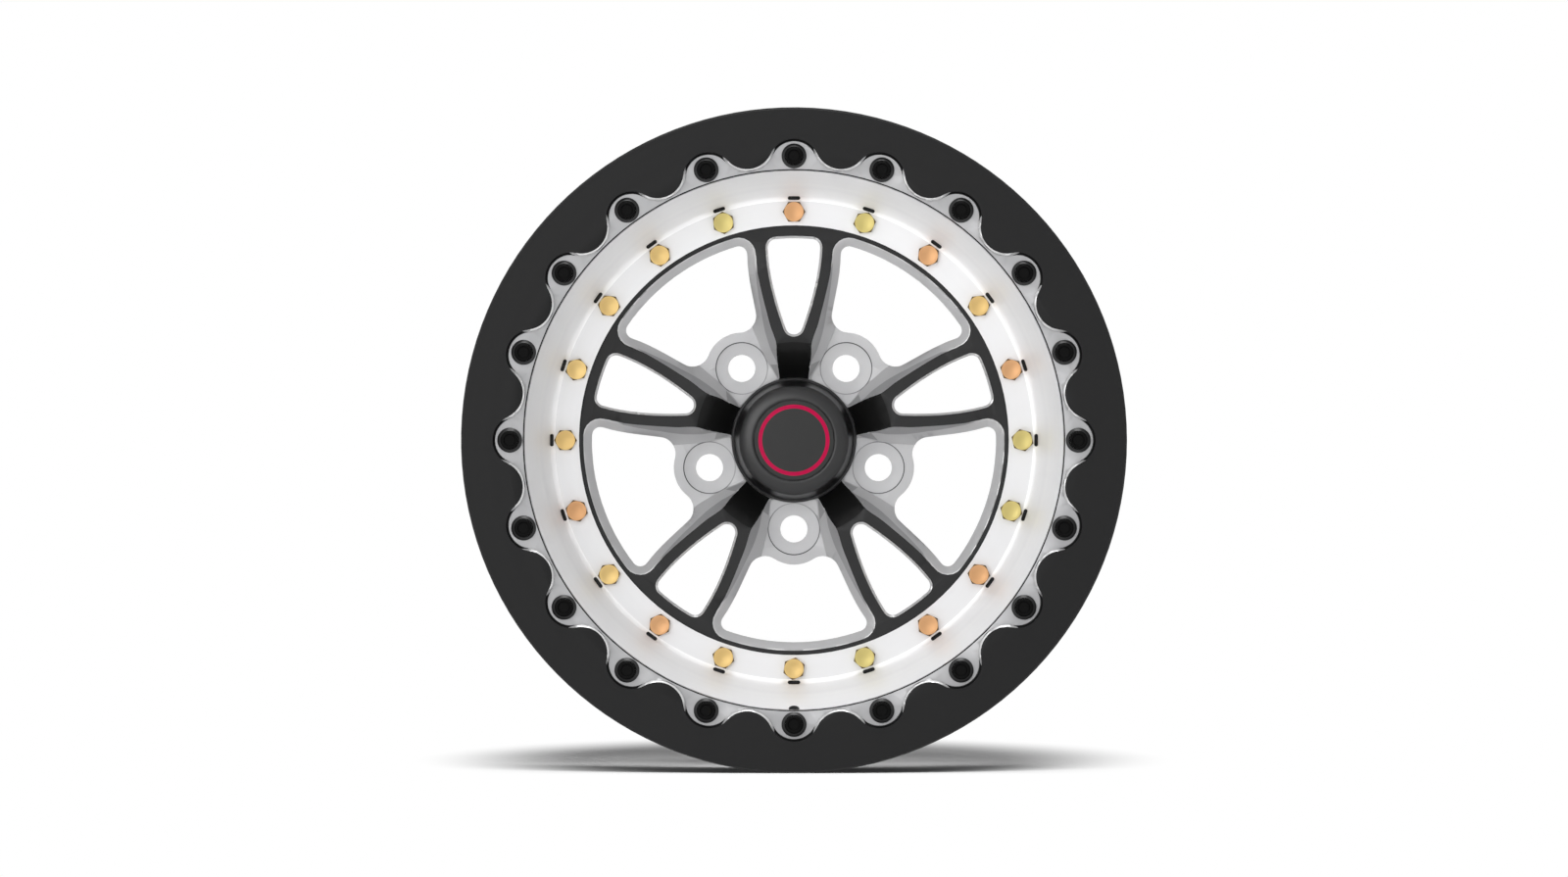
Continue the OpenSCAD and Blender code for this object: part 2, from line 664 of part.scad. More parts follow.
// A twelve-point flange bolt, its underside at height 0
module flange_bolt() {
    skirt_h = clamp_bolt_head_h * 0.28;
    skirt_r = clamp_bolt_flange_d / 2;
    drive_flats = clamp_bolt_d * 1.27;
    top_r = drive_flats / 2 * 0.9;
    translate([0, 0, -clamp_bolt_len]) {
        cylinder(d1 = clamp_bolt_d - 1.6, d2 = clamp_bolt_d, h = 1);
        translate([0, 0, 1]) cylinder(d = clamp_bolt_d, h = clamp_bolt_len - 1);
    }
    cylinder(r = skirt_r, h = 0.9);
    translate([0, 0, 0.9]) cylinder(r1 = skirt_r, r2 = skirt_r - 1.9, h = skirt_h - 0.9);
    difference() {
        translate([0, 0, skirt_h]) {
            hexagon_bar(drive_flats, clamp_bolt_head_h - skirt_h);
            rotate([0, 0, 30]) hexagon_bar(drive_flats, clamp_bolt_head_h - skirt_h);
        }
        translate([0, 0, clamp_bolt_head_h - 0.8]) cylinder(r1 = top_r - 0.8, r2 = top_r, h = 1);
    }
}

module clamp_ring_bolts() {
    color([0.1, 0.1, 0.1]) upright() around(clamp_bolt_count, clamp_bolt_r) {
        translate([0, 0, pocket_z]) flange_bolt();
    }
}

module thread_inserts() {
    color("slategray") upright() around(clamp_bolt_count, clamp_bolt_r) {
        translate([0, 0, base_front_z - 0.5 - insert_len]) difference() {
            cylinder(d = insert_d, h = insert_len);
            translate([0, 0, -1]) cylinder(d = clamp_bolt_d + 2 * thread_clearance, h = insert_len + 2);
        }
    }
}

// Rim bolts, nuts and washers

nut_z = inner_flange_z - washer_t - lock_nut_h;
function head_turn(k) = let (hit = [for (t = turned_heads) if (t[0] == k) t[1]]) len(hit) > 0 ? hit[0] : 0;

module rim_bolt() {
    grip = dish_z - nut_z + 1.5;
    cylinder(d = rim_bolt_flats - 0.5, h = 0.5);
    translate([0, 0, 0.5]) chamfered_hexagon(rim_bolt_flats, rim_bolt_head_h - 0.5);
    translate([0, 0, -grip + 1]) cylinder(d = rim_bolt_d, h = grip - 1);
    translate([0, 0, -grip]) cylinder(d1 = rim_bolt_d - 1.6, d2 = rim_bolt_d, h = 1);
}

module rim_bolts(tone) {
    upright() for (k = [0 : rim_bolt_count - 1]) {
        if (bolt_tones[k % len(bolt_tones)] == tone) {
            rotate([0, 0, -360 / rim_bolt_count * k]) translate([0, rim_bolt_r, dish_z])
                rotate([0, 0, head_turn(k)]) rim_bolt();
        }
    }
}

module rim_bolts_amber() {
    color([0.87, 0.66, 0.47]) rim_bolts(0);
}

module rim_bolts_gold() {
    color([0.87, 0.75, 0.48]) rim_bolts(1);
}

module rim_bolts_straw() {
    color([0.86, 0.82, 0.5]) rim_bolts(2);
}

module rim_bolt_washers() {
    color("lightsteelblue") upright() around(rim_bolt_count, rim_bolt_r) {
        translate([0, 0, inner_flange_z - washer_t]) difference() {
            cylinder(d = washer_d, h = washer_t);
            translate([0, 0, -1]) cylinder(d = rim_hole_d + 0.3, h = washer_t + 2);
        }
    }
}

crown_h = 2.4;
crown_r = rim_bolt_flats / 2 - 0.6;
ring_r = crown_r - 0.8;
module lock_nut() {
    difference() {
        union() {
            translate([0, 0, crown_h]) hexagon_bar(rim_bolt_flats, lock_nut_h - crown_h);
            cylinder(r1 = crown_r - 0.5, r2 = crown_r, h = crown_h);
        }
        translate([0, 0, -1]) cylinder(d = rim_bolt_d + 2 * thread_clearance, h = lock_nut_h + 2);
        translate([0, 0, 0.5]) cylinder(r = ring_r, h = crown_h - 0.3);
    }
}

module rim_lock_nuts() {
    color("silver") upright() around(rim_bolt_count, rim_bolt_r) translate([0, 0, nut_z]) lock_nut();
}

// The nylon ring held in each nut's crown
module lock_nut_rings() {
    color("whitesmoke") upright() around(rim_bolt_count, rim_bolt_r) {
        translate([0, 0, nut_z + 0.5]) difference() {
            cylinder(r = ring_r - thread_clearance, h = crown_h - 0.4);
            translate([0, 0, -1]) cylinder(d = rim_bolt_d + 2 * thread_clearance, h = crown_h + 2);
        }
    }
}

// Centre cap

cap_top_z = pad_t + cap_h;
disc_seat_z = cap_top_z - 0.4;
groove_r = disc_d / 2 + 0.4;
ring_groove_z = cap_foot_z - cap_plug_depth / 2;

module centre_cap() {
    foot_r = cap_d / 2;
    side_r = foot_r - 1.7;
    top_r = cap_top_d / 2;
    plug_r = cap_plug_d / 2;
    groove_floor_r = cap_bore_r - seal_ring_d - 0.1;
    groove_low = ring_groove_z - seal_ring_d / 2 - 0.1;
    groove_high = ring_groove_z + seal_ring_d / 2 + 0.1;
    outside = concat(
        [[plug_r - 1, cap_foot_z - cap_plug_depth], [plug_r, cap_foot_z - cap_plug_depth + 1],
            [plug_r, groove_low], [groove_floor_r, groove_low],
            [groove_floor_r, groove_high], [plug_r, groove_high],
            [plug_r, cap_foot_z], [foot_r, cap_foot_z], [foot_r, cap_foot_z + cap_foot_t - 0.6],
            [foot_r - 0.6, cap_foot_z + cap_foot_t], [side_r, cap_foot_z + cap_foot_t]],
        bezier([side_r, cap_foot_z + cap_foot_t], [side_r - 0.9, cap_foot_z + 0.35 * cap_h],
            [top_r + 0.8, cap_top_z - 0.4 * cap_h], [top_r, cap_top_z - 5], 6),
        bezier([top_r, cap_top_z - 5], [top_r - 0.3, cap_top_z - 2.8], [top_r - 2, cap_top_z - 1.6],
            [groove_r + 3, cap_top_z - 0.4], 6)
    );
    inside = [[0, disc_seat_z - disc_t - cap_wall], [plug_r - 6, disc_seat_z - disc_t - cap_wall],
        [plug_r - 6, cap_foot_z - cap_plug_depth]];
    color([0.22, 0.22, 0.22]) upright() rotate_extrude() polygon(concat(
        [for (i = [len(inside) - 1 : -1 : 0]) inside[i]],
        [[0, disc_seat_z - disc_t], [groove_r, disc_seat_z - disc_t], [groove_r, cap_top_z - 0.2]],
        reversed(outside)
    ));
}

module cap_disc() {
    r = disc_d / 2;
    rise = 0.7;
    color([0.24, 0.24, 0.24]) upright() rotate_extrude() polygon(concat(
        [[0, disc_seat_z - disc_t], [r, disc_seat_z - disc_t], [r, disc_seat_z]],
        [for (i = [1 : 8]) let (x = r * (1 - i / 8)) [x, disc_seat_z + rise * (1 - pow(x / r, 2))]]
    ));
}

module cap_seal_ring() {
    color([0.12, 0.12, 0.12]) upright() rotate_extrude()
        translate([cap_bore_r - seal_ring_d / 2 - 0.02, ring_groove_z]) circle(d = seal_ring_d, $fn = 32);
}

wheel_centre();
outer_rim_shell();
inner_rim_shell();
rim_joint_seal();
bead_base_ring();
base_ring_weld();
bead_clamp_ring();
clamp_ring_bolts();
thread_inserts();
rim_bolts_amber();
rim_bolts_gold();
rim_bolts_straw();
rim_bolt_washers();
rim_lock_nuts();
lock_nut_rings();
centre_cap();
cap_disc();
cap_seal_ring();
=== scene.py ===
import math

import bmesh
import bpy
import numpy as np
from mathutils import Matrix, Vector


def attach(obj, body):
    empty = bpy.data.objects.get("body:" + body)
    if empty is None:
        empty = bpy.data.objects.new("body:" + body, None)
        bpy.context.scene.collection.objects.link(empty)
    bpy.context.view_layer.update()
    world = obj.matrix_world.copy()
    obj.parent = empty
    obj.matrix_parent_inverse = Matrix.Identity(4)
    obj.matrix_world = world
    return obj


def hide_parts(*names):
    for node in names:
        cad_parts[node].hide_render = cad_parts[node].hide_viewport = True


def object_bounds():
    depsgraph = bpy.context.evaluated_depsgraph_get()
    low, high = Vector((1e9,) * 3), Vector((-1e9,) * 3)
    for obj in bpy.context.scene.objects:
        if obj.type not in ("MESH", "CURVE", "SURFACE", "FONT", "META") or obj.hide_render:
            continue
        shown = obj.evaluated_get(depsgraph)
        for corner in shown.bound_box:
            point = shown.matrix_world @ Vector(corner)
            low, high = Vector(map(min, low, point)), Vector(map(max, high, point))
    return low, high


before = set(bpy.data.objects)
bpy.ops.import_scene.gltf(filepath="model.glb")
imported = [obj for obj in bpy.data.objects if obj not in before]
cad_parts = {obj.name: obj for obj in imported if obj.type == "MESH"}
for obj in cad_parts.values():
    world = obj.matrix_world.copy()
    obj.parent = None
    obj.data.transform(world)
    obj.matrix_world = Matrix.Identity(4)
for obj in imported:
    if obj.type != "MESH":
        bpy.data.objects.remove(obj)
cad_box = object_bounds()

# Sizes in metres, as the solids have them. The wheel's axis is Y and its front faces -Y, so a height
# is measured towards the front from the hub face.
BOLTS = 20
CENTRE_FACE, LUG_FLOOR = 0.038, 0.018
DISH_EDGE_R = 0.0631
# Lugs, the stud circle's radius, the washer seat's radius and the width of the shadow painted along its edge
LUGS, STUD_R, SEAT_R, SEAT_SHADOW_WIDTH = 5, 0.05715, 0.0166, 0.0007
POCKET_FLOOR = 0.1365
TOOTH_MIDDLE_R = 0.1935
SHELL_FACE = 0.043

# Rim bolts: on their circle, clockwise from the top, with the plating tone of each one and the heads
# that don't stand square
RIM_CIRCLE_R, RIM_FLATS, RIM_HEAD, RIM_SHANK_D, RIM_GRIP = 0.1469, 0.0127, 0.0054, 0.00794, 0.0317
TONES = ("amber straw amber gold amber straw straw amber amber straw "
         "gold gold amber gold amber gold gold gold gold straw").split()
TURNED = {1: 24, 5: 14, 6: 32, 10: 22, 15: 30, 19: 18}

# Clamp bolts: twelve-point heads on a flange
CLAMP_CIRCLE_R, CLAMP_FLATS, CLAMP_HEAD, CLAMP_SHANK_D, CLAMP_GRIP = 0.1819, 0.01008, 0.008, 0.00794, 0.028
CLAMP_FLANGE_R = 0.008

# Both heads: the broken edge of the flange, inwards and upwards, the foot of the dish as a share of its
# edge, and the 30 degree slope at which the corners are turned off. The faces of that slope are known by
# how far they face along the bolt, give or take.
FLANGE_BREAK_IN, FLANGE_BREAK_UP = 0.0004, 0.0003
DISH_FOOT = 0.86
CORNER_SLOPE = math.tan(math.radians(30))
CORNER_FACING, CORNER_SPREAD = 0.85, 0.1

# The weld behind the base ring
WELD_R, WELD_HEIGHT, WELD_RIPPLES = 0.1797, 0.1000, 380

# The ring printed on the cap's disc, from its inner to its outer edge, and how soft those edges are
PRINT_INNER_R, PRINT_OUTER_R, PRINT_BLUR = 0.0204, 0.0229, 0.0001

# A face looks straight at the front from this share on, and lies in a plane within this distance
FLAT, IN_PLANE = 0.999, 2e-5


def linear(hex_code):
    """An sRGB hex colour as the linear colour that a socket takes."""
    values = [int(hex_code[i:i + 2], 16) / 255 for i in (1, 3, 5)]
    return [v / 12.92 if v <= 0.04045 else ((v + 0.055) / 1.055) ** 2.4 for v in values] + [1.0]


def put(tree, kind, settings=None, **inputs):
    """Adds a node. Settings are its properties; inputs its sockets by name, or by number as i0, i1."""
    node = tree.nodes.new(kind)
    for name, value in (settings or {}).items():
        setattr(node, name, value)
    for name, value in inputs.items():
        by_number = name[0] == "i" and name[1:].isdigit()
        socket = node.inputs[int(name[1:])] if by_number else node.inputs[name.replace("_", " ")]
        if isinstance(value, bpy.types.NodeSocket):
            tree.links.new(value, socket)
        else:
            socket.default_value = value
    return node


# Materials

def new_material(name):
    """An empty material with its output, and the place on the piece that a pattern reads."""
    mat = bpy.data.materials.new(name)
    mat.use_nodes = True
    tree = mat.node_tree
    tree.nodes.clear()
    out = put(tree, "ShaderNodeOutputMaterial")
    return mat, tree, out, put(tree, "ShaderNodeTexCoord").outputs["Object"]


def round_the_axis(tree, where):
    """Distance from the wheel's axis, and depth along it, for marks left by turning."""
    parts = put(tree, "ShaderNodeSeparateXYZ", Vector=where)
    flat = put(tree, "ShaderNodeCombineXYZ", X=parts.outputs["X"], Z=parts.outputs["Z"])
    reach = put(tree, "ShaderNodeVectorMath", {"operation": "LENGTH"}, i0=flat.outputs[0])
    return put(tree, "ShaderNodeCombineXYZ", X=reach.outputs["Value"], Y=parts.outputs["Y"]).outputs[0]


def seat_edge_shadows(tree, where):
    """Painted shadow along the turned edge of each washer seat, 16.6 mm round each stud hole: how dark it
    is, darkest on the side away from the cap. The real edge is a hair line: its shadow is drawn 0.7 mm wide,
    so that it shows."""
    parts = put(tree, "ShaderNodeSeparateXYZ", Vector=where).outputs
    flat = put(tree, "ShaderNodeCombineXYZ", X=parts["X"], Z=parts["Z"])
    reach = put(tree, "ShaderNodeVectorMath", {"operation": "LENGTH"}, i0=flat.outputs[0]).outputs["Value"]
    down = put(tree, "ShaderNodeMath", {"operation": "MULTIPLY"}, i0=parts["Z"], i1=-1.0)
    clock = put(tree, "ShaderNodeMath", {"operation": "ARCTAN2"}, i0=parts["X"], i1=down.outputs[0])
    fifth = put(tree, "ShaderNodeMath", {"operation": "WRAP"}, i0=clock.outputs[0], i1=math.pi / LUGS,
                i2=-math.pi / LUGS)
    along = put(tree, "ShaderNodeMath", {"operation": "COSINE"}, i0=fifth.outputs[0])
    across = put(tree, "ShaderNodeMath", {"operation": "SINE"}, i0=fifth.outputs[0])
    along = put(tree, "ShaderNodeMath", {"operation": "MULTIPLY_ADD"}, i0=along.outputs[0], i1=reach,
                i2=-STUD_R)
    across = put(tree, "ShaderNodeMath", {"operation": "MULTIPLY"}, i0=across.outputs[0], i1=reach)
    spot = put(tree, "ShaderNodeCombineXYZ", X=along.outputs[0], Y=across.outputs[0])
    gap = put(tree, "ShaderNodeVectorMath", {"operation": "LENGTH"}, i0=spot.outputs[0])
    line = put(tree, "ShaderNodeMath", {"operation": "COMPARE"}, i0=gap.outputs["Value"], i1=SEAT_R,
               i2=SEAT_SHADOW_WIDTH / 2)
    depth = put(tree, "ShaderNodeMapRange", Value=along.outputs[0], From_Min=-SEAT_R, From_Max=SEAT_R,
                To_Min=0.35, To_Max=0.95)
    line = put(tree, "ShaderNodeMath", {"operation": "MULTIPLY"}, i0=line.outputs[0], i1=depth.outputs[0])
    return line.outputs[0]


def finish(name, colour, second, metallic, rough, grain_mm=0.0, turned_mm=0.0, specular=0.5, grit=1500.0,
           lines=None):
    """A finish with a second colour in soft clouds, or in rings if it is turned, a fine grain and turning
    marks of a given depth, and dark lines of painted shadow where a pattern says."""
    mat, tree, out, where = new_material(name)
    turned = round_the_axis(tree, where)
    clouds = put(tree, "ShaderNodeTexNoise", Vector=turned if turned_mm else where,
                 Scale=90.0 if turned_mm else 26.0, Detail=3.0, Roughness=0.55)
    drift = put(tree, "ShaderNodeMapRange", Value=clouds.outputs["Fac"], From_Min=0.3, From_Max=0.7)
    base = put(tree, "ShaderNodeMix", {"data_type": "RGBA"}, Factor=drift.outputs[0],
               i6=linear(colour), i7=linear(second))
    # Painted shadow lines, in dark grey, where the pattern says
    if lines:
        base = put(tree, "ShaderNodeMix", {"data_type": "RGBA"}, Factor=lines(tree, where),
                   i6=base.outputs[2], i7=linear("#2A2A2A"))
    gloss = put(tree, "ShaderNodeMapRange", Value=clouds.outputs["Fac"], From_Min=0.3, From_Max=0.7,
                To_Min=rough * 0.88, To_Max=rough * 1.12)
    grain = put(tree, "ShaderNodeTexNoise", Vector=where, Scale=grit, Detail=2.0)
    # Turning marks about 0.35 mm apart: real ones are finer, but would not show
    marks = put(tree, "ShaderNodeTexNoise", Vector=turned, Scale=2900.0, Detail=1.0)
    rings = put(tree, "ShaderNodeMath", {"operation": "MULTIPLY"}, i0=marks.outputs["Fac"],
                i1=turned_mm / 1000)
    height = put(tree, "ShaderNodeMath", {"operation": "MULTIPLY_ADD"}, i0=grain.outputs["Fac"],
                 i1=grain_mm / 1000, i2=rings.outputs[0])
    bump = put(tree, "ShaderNodeBump", Height=height.outputs[0], Strength=1.0, Distance=1.0)
    skin = put(tree, "ShaderNodeBsdfPrincipled", Base_Color=base.outputs[2], Metallic=metallic,
               Roughness=gloss.outputs[0], Normal=bump.outputs[0])
    skin.inputs["Specular IOR Level"].default_value = specular
    tree.links.new(skin.outputs[0], out.inputs["Surface"])
    return mat


# Black anodised forging: a dark satin skin with a faint blasted grain
ANODISED_CENTRE = finish("black_anodised_forging", "#161617", "#1A1A1B", 0.0, 0.42, grain_mm=0.004,
                         specular=0.31)
# The turned cone round the cap, anodised too, is painted darker than the forging as the cap's shade, so it
# stays almost black
ANODISED_CONE_PAINTED_SHADE = finish("black_anodised_cone_painted_shade", "#0C0C0C", "#0E0E0E", 0.0, 0.38, turned_mm=0.003,
                       specular=0.2)
# Black anodised plate, face-turned: very fine rings, darker than the forging
ANODISED_RING = finish("black_anodised_turned_ring", "#0B0B0C", "#0D0D0E", 0.0, 0.42, turned_mm=0.003,
                       specular=0.22)
# Aluminium milled after anodising, satin: light grey. It comes in lit and shaded copies by how far each face
# turns to
# the front: the bevels are painted lighter than the floors, and the steep upper walls, cut by the side of
# the cutter, whose marks run across the light, are painted darker than the bevels and floors as shade.
MILLED_FLOOR = finish("satin_milled_floor", "#B9B9BA", "#B3B3B5", 0.2, 0.42, grain_mm=0.005,
                      lines=seat_edge_shadows)
MILLED_BEVEL_PAINTED_LIGHT = finish("satin_milled_bevel_painted_light", "#C9C9CA", "#C2C2C3", 0.3, 0.40, grain_mm=0.004)
MILLED_WALL_PAINTED_SHADE = finish("side_milled_wall_painted_shade", "#A6A6A7", "#9C9C9E", 0.3, 0.42, grain_mm=0.006)
# The top edges and the tooth chamfers: a brighter, smoother cut, whose lighter colour is partly a painted
# highlight
MILLED_EDGE_WITH_HIGHLIGHT = finish("milled_edge_painted_highlight", "#D6D6D6", "#CFCFD0", 0.5, 0.28, grain_mm=0.003)
MILLED_POCKET = finish("satin_milled_pocket", "#A8A8A9", "#A1A1A3", 0.3, 0.38, grain_mm=0.004)
# Spun aluminium, polished then lightly buffed: near white, and soft enough to blur what it mirrors
BUFFED = finish("buffed_spun_aluminium", "#FAFAFA", "#F6F6F7", 0.25, 0.50, turned_mm=0.001)
# Its flange, turned after spinning: a little greyer
FACED = finish("faced_aluminium_flange", "#E0E0E1", "#DDDDDE", 0.3, 0.36, turned_mm=0.002)
# The inner half, spun and left bright: its lathe lines show
SPUN = finish("bright_spun_aluminium", "#CFCFD2", "#C4C4C8", 0.75, 0.36, turned_mm=0.010)
# The bead ring, machined from plate: clean turned faces
MACHINED = finish("machined_aluminium", "#CDCDD0", "#C6C6CA", 0.75, 0.30, turned_mm=0.010)
# Weld metal as it was laid, dulled by its own smoke
WELD = finish("as_welded_aluminium", "#A9A9A8", "#86857F", 0.7, 0.48, grain_mm=0.02)
# Black oxide on steel: almost black with an oily sheen
BLACK_OXIDE = finish("black_oxide_steel", "#161617", "#111112", 0.0, 0.34, grain_mm=0.004, specular=0.45)
# The dished ends and turned corners of the twelve-point heads: black oxide painted almost black and dull, as
# their shade
BLACK_END_PAINTED_SHADE = finish("black_oxide_drive_end_painted_shade", "#030303", "#050505", 0.0, 0.5, grain_mm=0.004, specular=0.08)
# Yellow zinc plate varies from bolt to bolt, from copper through gold to straw
ZINC = {
    "amber": finish("yellow_zinc_amber", "#CC9C6E", "#C69465", 0.55, 0.34, grain_mm=0.003),
    "gold": finish("yellow_zinc_gold", "#D0B272", "#C9A768", 0.55, 0.34, grain_mm=0.003),
    "straw": finish("yellow_zinc_straw", "#C6B571", "#BDAE69", 0.55, 0.34, grain_mm=0.003),
}
# The corners of the heads, turned off before plating: painted dark brown as a reflection of the dark between
# bolts
ZINC_CORNER_PAINTED_REFLECTION = finish("yellow_zinc_corner_painted_reflection", "#5A4526", "#4A3A22", 0.3, 0.40, grain_mm=0.003)
CLEAR_ZINC = finish("clear_zinc_steel", "#B8BBC0", "#A3A7AF", 0.85, 0.32, grain_mm=0.004)
PLAIN_STEEL = finish("plain_steel", "#949496", "#8A8A8C", 0.85, 0.36, grain_mm=0.004)
# Nylon in its natural milky white
NYLON = finish("natural_nylon", "#E0DED4", "#D9D7CC", 0.0, 0.45, grain_mm=0.010)
# Black silicone sealant, pressed out of the joint and left to skin over
SEALANT = finish("black_silicone_sealant", "#161616", "#1B1B1B", 0.0, 0.48, grain_mm=0.05, grit=300.0)
# Billet cap, anodised black and satin: fine turned rings catch a soft highlight
CAP_SATIN = finish("black_anodised_billet_cap", "#1B1B1C", "#1F1F20", 0.0, 0.32, turned_mm=0.002)
RUBBER = finish("black_seal_rubber", "#101010", "#141414", 0.0, 0.6, grain_mm=0.02)


def printed_disc():
    """A satin black disc with a red ring printed near its edge."""
    mat, tree, out, where = new_material("printed_black_disc")
    reach = put(tree, "ShaderNodeSeparateXYZ", Vector=round_the_axis(tree, where)).outputs["X"]
    inner = put(tree, "ShaderNodeMapRange", Value=reach, From_Min=PRINT_INNER_R - PRINT_BLUR,
                From_Max=PRINT_INNER_R + PRINT_BLUR)
    outer = put(tree, "ShaderNodeMapRange", Value=reach, From_Min=PRINT_OUTER_R + PRINT_BLUR,
                From_Max=PRINT_OUTER_R - PRINT_BLUR)
    band = put(tree, "ShaderNodeMath", {"operation": "MULTIPLY"}, i0=inner.outputs[0], i1=outer.outputs[0])
    colour = put(tree, "ShaderNodeMix", {"data_type": "RGBA"}, Factor=band.outputs[0],
                 i6=linear("#363636"), i7=linear("#B20040"))
    grain = put(tree, "ShaderNodeTexNoise", Vector=where, Scale=1800.0, Detail=2.0)
    gloss = put(tree, "ShaderNodeMapRange", Value=grain.outputs["Fac"], To_Min=0.30, To_Max=0.40)
    bump = put(tree, "ShaderNodeBump", Height=grain.outputs["Fac"], Strength=1.0, Distance=0.000003)
    skin = put(tree, "ShaderNodeBsdfPrincipled", Base_Color=colour.outputs[2], Roughness=gloss.outputs[0],
               Normal=bump.outputs[0])
    skin.inputs["Specular IOR Level"].default_value = 0.1
    tree.links.new(skin.outputs[0], out.inputs["Surface"])
    return mat


PRINTED_DISC = printed_disc()


# Pieces made from the solids

def plain_mesh(obj):
    """The evaluated object's mesh, plain, on a new object of the same name; the old one goes."""
    graph = bpy.context.evaluated_depsgraph_get()
    mesh = bpy.data.meshes.new_from_object(obj.evaluated_get(graph), depsgraph=graph)
    name = obj.name
    old = obj.data
    bpy.data.objects.remove(obj)
    bpy.data.meshes.remove(old)
    mesh.name = name
    fresh = bpy.data.objects.new(name, mesh)
    bpy.context.scene.collection.objects.link(fresh)
    return fresh


def smooth_copy(node, name):
    """A copy of a solid's mesh with its loose triangles joined, smooth except at real edges. The larger
    faces lead the shading, so that a flat stays flat up to its edge."""
    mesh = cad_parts[node].data.copy()
    bm = bmesh.new()
    bm.from_mesh(mesh)
    bmesh.ops.remove_doubles(bm, verts=bm.verts, dist=1e-6)
    bm.to_mesh(mesh)
    bm.free()
    mesh.materials.clear()
    mesh.shade_smooth()
    mesh.set_sharp_from_angle(angle=math.radians(24))
    obj = bpy.data.objects.new(name, mesh)
    bpy.context.scene.collection.objects.link(obj)
    lead = obj.modifiers.new("large_faces_lead", "WEIGHTED_NORMAL")
    lead.keep_sharp = True
    lead.mode = "FACE_AREA"
    lead.weight = 100
    return plain_mesh(obj)


def face_table(obj):
    """For each face: distance from the axis, height, how far it faces the front and how far outwards."""
    count = len(obj.data.polygons)
    centre, normal = np.empty(count * 3), np.empty(count * 3)
    obj.data.polygons.foreach_get("center", centre)
    obj.data.polygons.foreach_get("normal", normal)
    centre, normal = centre.reshape(-1, 3), normal.reshape(-1, 3)
    reach = np.hypot(centre[:, 0], centre[:, 2])
    outward = (centre[:, 0] * normal[:, 0] + centre[:, 2] * normal[:, 2]) / np.maximum(reach, 1e-9)
    return reach, -centre[:, 1], -normal[:, 1], outward


def paint(obj, materials, which):
    """Gives each face the material whose number it has."""
    for mat in materials:
        obj.data.materials.append(mat)
    obj.data.polygons.foreach_set("material_index", np.asarray(which, dtype=np.int32))
    obj.data.update()


def stand_for(obj, slot_name, *nodes):
    """The piece rides with the wheel and replaces these solids. Its slot name is not used."""
    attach(obj, "root")
    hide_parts(*nodes)


def dress_centre():
    obj = smooth_copy("wheel_centre", "forged_centre")
    reach, height, front, outward = face_table(obj)
    face = (front > FLAT) & (np.abs(height - CENTRE_FACE) < IN_PLANE)
    # The cone round the cap, painted darker as the cap's shade
    cone = (outward < -0.5) & (np.abs(front - 0.77) < 0.06) & (reach < DISH_EDGE_R)
    milled = (front > 0.004) & (height > LUG_FLOOR - 0.0012) & (reach < 0.136) & ~face & ~cone
    # The top edges of the cuts, whose lighter colour is partly a painted highlight
    edge = milled & (height > CENTRE_FACE - 0.0016) & (front > 0.6) & (front < 0.8)
    # Steep walls painted darker as shade, then the lower bevel painted lighter, then the floors, by how far
    # each face turns to the front
    which = np.where(front < 0.52, 4, np.where(front < 0.9, 3, 2))
    paint(obj, [ANODISED_CENTRE, ANODISED_CONE_PAINTED_SHADE, MILLED_FLOOR, MILLED_BEVEL_PAINTED_LIGHT, MILLED_WALL_PAINTED_SHADE, MILLED_EDGE_WITH_HIGHLIGHT],
          np.where(cone, 1, np.where(edge, 5, np.where(milled, which, 0))))
    stand_for(obj, "centre_finish", "wheel_centre")


def dress_clamp_ring():
    obj = smooth_copy("bead_clamp_ring", "clamp_ring")
    reach, height, front, _ = face_table(obj)
    floor = (front > FLAT) & (np.abs(height - POCKET_FLOOR) < IN_PLANE)
    # The tooth chamfers take the edge finish, whose lighter colour is partly a painted highlight
    bevel = (np.abs(front - 0.707) < 0.03) & (height > POCKET_FLOOR + 0.0012) & (reach < TOOTH_MIDDLE_R)
    paint(obj, [ANODISED_RING, MILLED_POCKET, MILLED_EDGE_WITH_HIGHLIGHT], np.where(floor, 1, np.where(bevel, 2, 0)))
    stand_for(obj, "ring_finish", "bead_clamp_ring")


def dress_outer_shell():
    obj = smooth_copy("outer_rim_shell", "outer_shell")
    _, height, front, outward = face_table(obj)
    flange = (front > FLAT) & (np.abs(height - SHELL_FACE) < IN_PLANE)
    behind = (outward > 0.05) | (front < -0.05)
    paint(obj, [BUFFED, FACED, SPUN], np.where(flange, 1, np.where(behind, 2, 0)))
    stand_for(obj, "outer_shell_finish", "outer_rim_shell")


def dress(node, name, slot_name, material):
    obj = smooth_copy(node, name)
    obj.data.materials.append(material)
    stand_for(obj, slot_name, node)


dress_centre()
dress_clamp_ring()
dress_outer_shell()
dress("inner_rim_shell", "inner_shell", "inner_shell_finish", SPUN)
dress("rim_joint_seal", "joint_sealant", "sealant", SEALANT)
dress("bead_base_ring", "base_ring", "base_ring_finish", MACHINED)
dress("thread_inserts", "inserts", "insert_steel", PLAIN_STEEL)
dress("rim_bolt_washers", "washers", "nut_steel", CLEAR_ZINC)
dress("rim_lock_nuts", "lock_nuts", "nut_steel", CLEAR_ZINC)
dress("lock_nut_rings", "nylon_rings", "nylon", NYLON)
dress("centre_cap", "cap", "cap_finish", CAP_SATIN)
dress("cap_disc", "disc", "disc_finish", PRINTED_DISC)
dress("cap_seal_ring", "seal_ring", "seal_rubber", RUBBER)


# Bolts and weld, grown and set in place by Geometry Nodes

